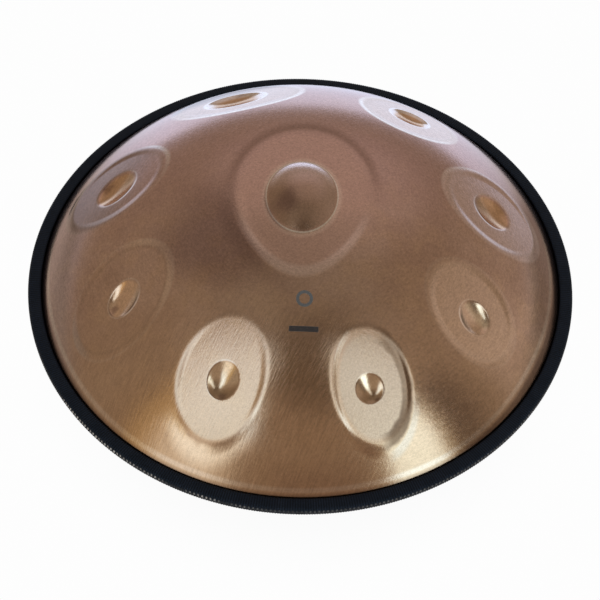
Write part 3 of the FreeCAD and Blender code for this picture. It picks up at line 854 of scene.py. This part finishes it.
def tint_dimple_sides(net):
    """Painted shade as a dark crescent and a painted highlight on the pale rim, on one side of four
    dimples.
    """
    # field number, plan direction of the side, strength of the painted dark crescent
    for number, side_x, side_y, dark in ((2, .78, -.62, .8), (3, .80, -.60, .9),
                                         (6, -.88, -.47, .9), (7, -.78, -.62, .9)):
        dimple = FIELDS[number - 1].dimple
        size = 1 / math.sqrt(dimple[2] * dimple[3])
        along = net.from_dimple(number, side_x * size, side_y * size)
        here = net.on_fields(number, full=.02, end=.05) * net.step(along, .50, .88)
        net.tint(here * net.band(net.dimple, .97, 1.01, 1.04, 1.11), (1.0, 0.88, 0.80), amount=.75)
        net.tint(here * net.band(net.dimple, .76, .84, .90, .97), (0.10, 0.065, 0.055),
                 amount=dark)


def tint_last_touches(net):
    step, band, tint, y = net.step, net.band, net.tint, net.y
    # field 6: painted highlight on the back right half of the dimple
    across = net.from_dimple(6, along_x=.62, along_y=.78)
    tint(net.on_fields(6, full=.02, end=.05) * step(net.dimple, .98, .80) * step(across, -3.0, 5.0),
         (1.0, 0.88, 0.64), amount=.75)
    # fields 4 and 5: painted highlight on the dimples at the back and painted shade at the front
    pair = net.on_fields(4, 5) * step(net.dimple, 1.02, .90)
    tint(pair * step(y, -181.0, -172.0), (1.0, 0.83, 0.60), amount=.6)
    tint(pair * step(y, -173.0, -183.0), (0.36, 0.26, 0.165), amount=.6)
    # field 7: pale painted reflection on the face; field 3: painted highlight on the inner border
    tint(net.on_fields(7) * step(net.field, 1.05, .96) * step(net.dimple, .95, 1.05),
         (0.88, 0.70, 0.64), amount=.50)
    tint(net.on_fields(3) * band(net.field, .86, .92, .97, 1.04) * step(net.radius, 178.0, 150.0),
         (0.92, 0.72, 0.54), amount=.40)
    # fields 8 and 1: painted highlights on the dimple edges; field 6: lighter painted reflection all
    # over
    tint(band(net.fid, *LAST_FIELD) * band(net.dimple, .66, .86, 1.04, 1.14),
         (1.0, 0.92, 0.86), amount=.7)
    tint(net.on_fields(1) * band(net.dimple, .60, .88, 1.04, 1.14), (1.0, 0.92, 0.86), amount=.7)
    tint(net.on_fields(6) * step(net.field, 1.04, .86), (0.92, 0.70, 0.52), amount=.40)


def tint_foot(net):
    """Foot of the wall: a painted highlight as a pale line, then painted shade against the trim."""
    # the line's radius grows at the front and shrinks at the right
    edge = 250.3 + net.step(net.sin, -.35, -.92) * 2.9 + net.step(net.cos, .5, .95) * -3.0
    beyond = net.radius - edge
    net.tint(net.band(beyond, -4.6, -2.6, -1.4, .0), (0.90, 0.76, 0.62), amount=.42)
    net.tint(net.step(beyond, -.8, 2.6), (0.150, 0.085, 0.060), amount=.74)


def print_marks(net, grain):
    """Printed ring with a bar in front of it; returns the ink mask."""
    centre_x, ring_y, bar_y = 4.0, -107.0, -134.0
    dx, dy = net.x - centre_x, net.y - ring_y
    ring = net.band(net.math("SQRT", dx * dx + dy * dy), 4.6, 5.0, 7.4, 7.8)
    off_x = net.math("ABSOLUTE", dx)
    off_y = net.math("ABSOLUTE", net.y - bar_y)
    bar = net.step(off_x, 13.4, 13.0) * net.step(off_y, 2.6, 2.2)
    ink = net.math("MAXIMUM", ring * .85, bar) * net.step(grain, .30, .42, .82, 1.0)
    net.tint(ink, net.mix(bar, (0.10, 0.16, 0.20), (0.045, 0.042, 0.045)))
    return ink


def steel_material(name, marked):
    made, net, bsdf = material(name, SteelNodes)
    # brush strokes round the bowl: fine across, long along
    round_ = net.noise(net.vec(net.cos * 30.0, net.sin * 30.0, net.radius * 0.66),
                       scale=1.0, detail=3.0, rough=.6)
    # leaning strokes near the front
    cos, sin = math.cos(math.radians(62)), math.sin(math.radians(62))
    along = net.x * cos + net.y * sin
    across = net.x * -sin + net.y * cos
    lean = net.noise(net.vec(along * .085, across * .68, net.metres_z * 60.0),
                     scale=1.0, detail=3.0, rough=.6)
    near = net.step(net.y, -60.0, -150.0) * net.step(net.x, 150.0, 20.0)
    streak = round_ * (1.0 - near) + lean * near
    grain = net.noise(net.pos, scale=900.0, detail=2.0, rough=.6)
    speck = net.noise(net.pos, scale=420.0, detail=3.0, rough=.65)

    tint_sheet(net)
    calm = 1.0      # streaks are weaker on fields 4 and 5
    if marked:
        net.read_masks()
        for section in (tint_shoulder, tint_bump, tint_every_field, tint_back_and_left,
                        tint_fifth, tint_dimple_sides, tint_last_touches, tint_foot):
            section(net)
        calm = 1.0 - net.on_fields(4, 5) * net.step(net.field, 1.0, .9) * .55
    # brightness varies with the three textures
    tone = 1.0 + ((streak - .5) * calm * (.50 + near * .10)
                  + (speck - .5) * (.58 - near * .22) + (grain - .5) * .32)
    net.colour = net.out("ShaderNodeHueSaturation", {"Value": tone, "Color": net.colour})
    rough = .095 + streak * .09 + speck * .05
    metal = 1.0
    if marked:
        ink = print_marks(net, grain)
        metal = 1.0 - ink * .9
        rough = rough + ink * .25
    strokes = net.bump(streak * 1.0 + grain * .35, strength=.45, distance=.00012)
    net.feed(bsdf, {"Base Color": net.colour, "Metallic": metal, "Roughness": rough,
                    "Normal": net.bump(speck, strength=.35, distance=.00010, under=strokes)})
    return made


# ---- other materials ---------------------------------------------------------
NOTCH_RATE = 68.4       # notches per radian, each row


def rubber_material():
    made, net, bsdf = material("trim_rubber_look")
    step, band = net.step, net.band
    pos = net.place()
    clouds = net.noise(pos, scale=60.0, detail=3.0)
    dust = net.noise(pos, scale=1500.0, detail=2.0)
    net.colour = net.mix(step(clouds, .35, .65), (0.0125, 0.0200, 0.0370), (0.0185, 0.0270, 0.0470))
    # painted shade in the sunk rib grooves
    net.tint(net.attr("rib"), (0.0010, 0.0018, 0.0040), amount=.85)
    net.tint(step(dust, .62, .75, 0, .35), (0.05, 0.052, 0.06))
    # painted glints on two staggered rows of small notches, brightest at the front left
    x, y, z = net.xyz(pos)
    azimuth = net.math("ARCTAN2", y, x)
    over_seam = z * 1000.0 - SEAM_Z
    upper = net.math("FRACT", (azimuth + 10.0) * NOTCH_RATE)
    lower = net.math("FRACT", .5 + (azimuth + 10.0) * NOTCH_RATE)
    # noise that breaks up the painted glints
    glint_breakup = step(net.noise(pos, scale=26.0, detail=3.0), .36, .58)
    lit = band(azimuth, -2.75, -2.45, -1.95, -1.65) + band(azimuth, -1.7, -1.2, -.7, -.3) * .12
    lit = net.math("MINIMUM", lit + .08, 1.0) * glint_breakup
    upper = band(upper, .08, .18, .45, .58) * band(over_seam, -.2, .6, 2.6, 3.4)
    lower = band(lower, .08, .18, .45, .58) * band(over_seam, -3.6, -2.8, -1.6, -.8)
    net.tint(net.math("MAXIMUM", upper, lower * .8) * lit, (0.85, 0.87, 0.87))
    net.feed(bsdf, {"Base Color": net.colour, "Roughness": .42 + clouds * .16,
                    "Specular IOR Level": .22, "Specular Tint": (0.65, 0.84, 1.0),
                    "Normal": net.bump(dust, strength=.3, distance=.00006)})
    return made


def mottled_material(name, scale, detail, dark, pale, metal, rough, rough_gain, strength, distance):
    made, net, bsdf = material(name)
    noise = net.noise(net.place(), scale, detail)
    net.feed(bsdf, {"Base Color": net.mix(net.step(noise, .35, .65), dark, pale),
                    "Metallic": metal, "Roughness": rough + noise * rough_gain,
                    "Normal": net.bump(noise, strength, distance)})
    return made


# ---- studio ------------------------------------------------------------------
def split_by_ray(net, kind, output, lit, seen):
    """The scene is lit by one colour, while the camera sees another."""
    mixed = net.out("ShaderNodeMixShader", {
        0: net.out("ShaderNodeLightPath", {}, "Is Camera Ray"),
        1: net.out(kind, {0: lit}), 2: net.out(kind, {0: seen})})
    net.node(output, {0: mixed})


def make_world():
    world = bpy.data.worlds.new("soft_studio")
    bpy.context.scene.world = world
    world.use_nodes = True
    world.node_tree.nodes.clear()
    net = Nodes(world.node_tree)
    step, band, tint = net.step, net.band, net.tint
    x, y, z = net.xyz(net.place("Generated"))
    # degrees from straight up, and azimuth in degrees
    tilt = net.math("ARCCOSINE", z) * (180 / math.pi)
    azimuth = net.math("ARCTAN2", y, x) * (180 / math.pi)

    def spot(from_up, heading, outer, inner):
        """Soft round patch; its centre and its two radii in degrees."""
        t, p = math.radians(from_up), math.radians(heading)
        toward = (x * (math.sin(t) * math.cos(p)) + y * (math.sin(t) * math.sin(p))
                  + z * math.cos(t))
        return step(toward, math.cos(math.radians(outer)), math.cos(math.radians(inner)))

    # warm dim surround, dimmer towards the front, greyer overhead on the left
    net.colour = net.mix(step(tilt, 10, 44), (0.285, 0.240, 0.200), (0.335, 0.270, 0.215))
    tint(step(y, -.15, -.55), (0.305, 0.232, 0.178))
    tint(step(x, -.08, -.30) * step(tilt, 26, 18), (0.330, 0.285, 0.240))
    # dark opening overhead, and a soft lift high at the back
    tint(spot(21, -70, outer=24, inner=5), (0.100, 0.072, 0.050), amount=.70)
    tint(spot(50, 84, outer=34, inner=8), (0.480, 0.400, 0.370), amount=.9)
    # azimuth band, tilt band, strength, colour
    for heading, from_up, amount, colour in (
            ((-36, -32, -24, -8), (40, 55, 104, 112), .72, (0.105, 0.080, 0.068)),   # dark right
            ((100, 118, 145, 165), (14, 26, 42, 62), .7, (0.150, 0.110, 0.105)),     # dark back left
            ((-12, 4, 14, 44), (44, 70, 94, 110), .8, (0.560, 0.485, 0.440)),        # lift right
            ((-102, -94, -72, -60), (62, 72, 88, 100), .7, (0.215, 0.150, 0.118))):  # dim front
        tint(band(azimuth, *heading) * band(tilt, *from_up), colour, amount)
    # pale sweep at the back
    tint(step(tilt, 79, 114) * step(y, .10, .80), (0.98, 1.13, 1.46))
    # two tall soft boxes at the front left and right, with warm edges
    rows = band(tilt, 14, 21, 108, 120)
    tint(band(azimuth, -157, -146, -122, -110) * rows, (0.60, 0.45, 0.240), amount=.85)
    turn = step(tilt, 30, 48, 3.5, 0.0) - band(tilt, 42, 50, 60, 68) * 4.0
    tint(band(azimuth + turn, -148, -137, -124, -108) * rows,
         net.mix(step(tilt, 42, 62), (1.14, 1.37, 1.62), (0.93, 0.91, 0.88)))
    tint(band(azimuth, -61, -54, -34, -29) * rows, (0.58, 0.44, 0.240), amount=.80)
    tint(band(azimuth, -57, -52.5, -37, -33) * rows,
         net.mix(step(tilt, 38, 60), (0.98, 1.10, 1.20), (1.50, 1.86, 2.10)))
    split_by_ray(net, "ShaderNodeBackground", "ShaderNodeOutputWorld",
                 lit=net.colour, seen=(0.985, 0.985, 0.985))


def floor_material():
    made = bpy.data.materials.new("floor_pale")
    made.use_nodes = True
    made.node_tree.nodes.clear()
    net = Nodes(made.node_tree)
    step = net.step
    x, y, _ = net.xyz(net.out("ShaderNodeNewGeometry", {}, "Position"))
    radius = net.math("SQRT", x * x + y * y)
    # what the camera sees: white with a soft shade under the pan
    shade = step(radius, .06, .30, .90, .985)
    seen = net.mix(1.0, (1, 1, 1), net.vec(shade, shade, shade), "MULTIPLY")
    # what the steel reflects: warm grey, dim at the back right, pale straight behind
    behind = (step(y, .14, .50)
              * step(net.math("ABSOLUTE", x / net.math("MAXIMUM", y, .05)), 1.3, .4))
    net.colour = net.mix(step(radius, .35, 1.2, .50, .30), (0.0, 0.0, 0.0), (1.0, .90, .80))
    slant = x / net.math("MAXIMUM", y, .05)
    net.tint(net.band(y, .04, .10, .50, .85) * net.band(slant, .75, 1.35, 3.5, 6.0),
             (0.16, 0.12, 0.10), amount=.65)
    net.tint(behind, (0.92, 1.05, 1.34))
    split_by_ray(net, "ShaderNodeEmission", "ShaderNodeOutputMaterial", lit=net.colour, seen=seen)
    return made


def make_floor(reach=40.0, z=-.0005):
    mesh = bpy.data.meshes.new("floor")
    corners = [(-reach, -reach, z), (reach, -reach, z), (reach, reach, z), (-reach, reach, z)]
    mesh.from_pydata(corners, [], [(0, 1, 2, 3)])
    floor = link("floor", mesh)
    mesh.materials.append(floor_material())


# Camera: elevation, distance from the seam centre in metres, roll; lens and sensor in mm.
CAMERA_ELEVATION, CAMERA_DISTANCE, CAMERA_ROLL = 52.2272, 1.5, 1.694
LENS, SENSOR_W = 90.4896, 36.0
# where the seam centre falls on the sensor, right of and above its middle, in mm
AIM_RIGHT, AIM_UP = 0.05052, 1.57386


def make_camera():
    data = bpy.data.cameras.new("view_camera")
    camera = link("view_camera", data)
    elevation, roll = math.radians(CAMERA_ELEVATION), math.radians(CAMERA_ROLL)
    target = Vector((0, 0, SEAM_Z / 1000))
    eye = Vector((0, -CAMERA_DISTANCE * math.cos(elevation),
                  SEAM_Z / 1000 + CAMERA_DISTANCE * math.sin(elevation)))
    forward = (target - eye).normalized()
    right = Vector((1, 0, 0))
    up = right.cross(forward)
    right, up = (right * math.cos(roll) + up * math.sin(roll),
                 up * math.cos(roll) - right * math.sin(roll))
    # turned so that the seam centre falls on its place
    view = (forward - right * (AIM_RIGHT / LENS) - up * (AIM_UP / LENS)).normalized()
    turn = forward.rotation_difference(view)
    pose = Matrix((turn @ right, turn @ up, -view)).transposed().to_4x4()
    pose.translation = eye
    camera.matrix_world = pose
    data.lens = LENS
    data.sensor_width = SENSOR_W
    data.clip_start, data.clip_end = .01, 200.0
    bpy.context.scene.camera = camera


# ---- assembly ----------------------------------------------------------------
bpy.context.scene.view_settings.view_transform = "Standard"
top, bottom, trim = make_top(), make_bottom(), make_trim()
for piece, node, slot, look in (
        (top, "top_shell", "top_shell_steel", steel_material("top_shell_bronze", True)),
        (bottom, "bottom_shell", "bottom_shell_steel",
         steel_material("bottom_shell_bronze", False)),
        (trim, "rim_trim", "trim_rubber", rubber_material())):
    piece.data.materials.append(look)
    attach(piece, "root")
    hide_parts(node)

# the adhesive and the trim core keep their own meshes
GLUE_LOOK = mottled_material("adhesive_look", scale=180.0, detail=3.0, dark=(0.22, 0.21, 0.19),
                             pale=(0.34, 0.32, 0.28), metal=0.0, rough=.35, rough_gain=.3,
                             strength=.4, distance=.0002)
CORE_LOOK = mottled_material("trim_core_look", scale=220.0, detail=4.0, dark=(0.42, 0.42, 0.43),
                             pale=(0.58, 0.58, 0.60), metal=1.0, rough=.28, rough_gain=.25,
                             strength=.3, distance=.0001)
for node, look in (("seam_adhesive", GLUE_LOOK), ("rim_trim_core", CORE_LOOK)):
    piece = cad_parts[node]
    for material_slot in piece.material_slots:
        material_slot.material = look
    if not piece.material_slots:
        piece.data.materials.append(look)
make_world()
make_floor()
make_camera()
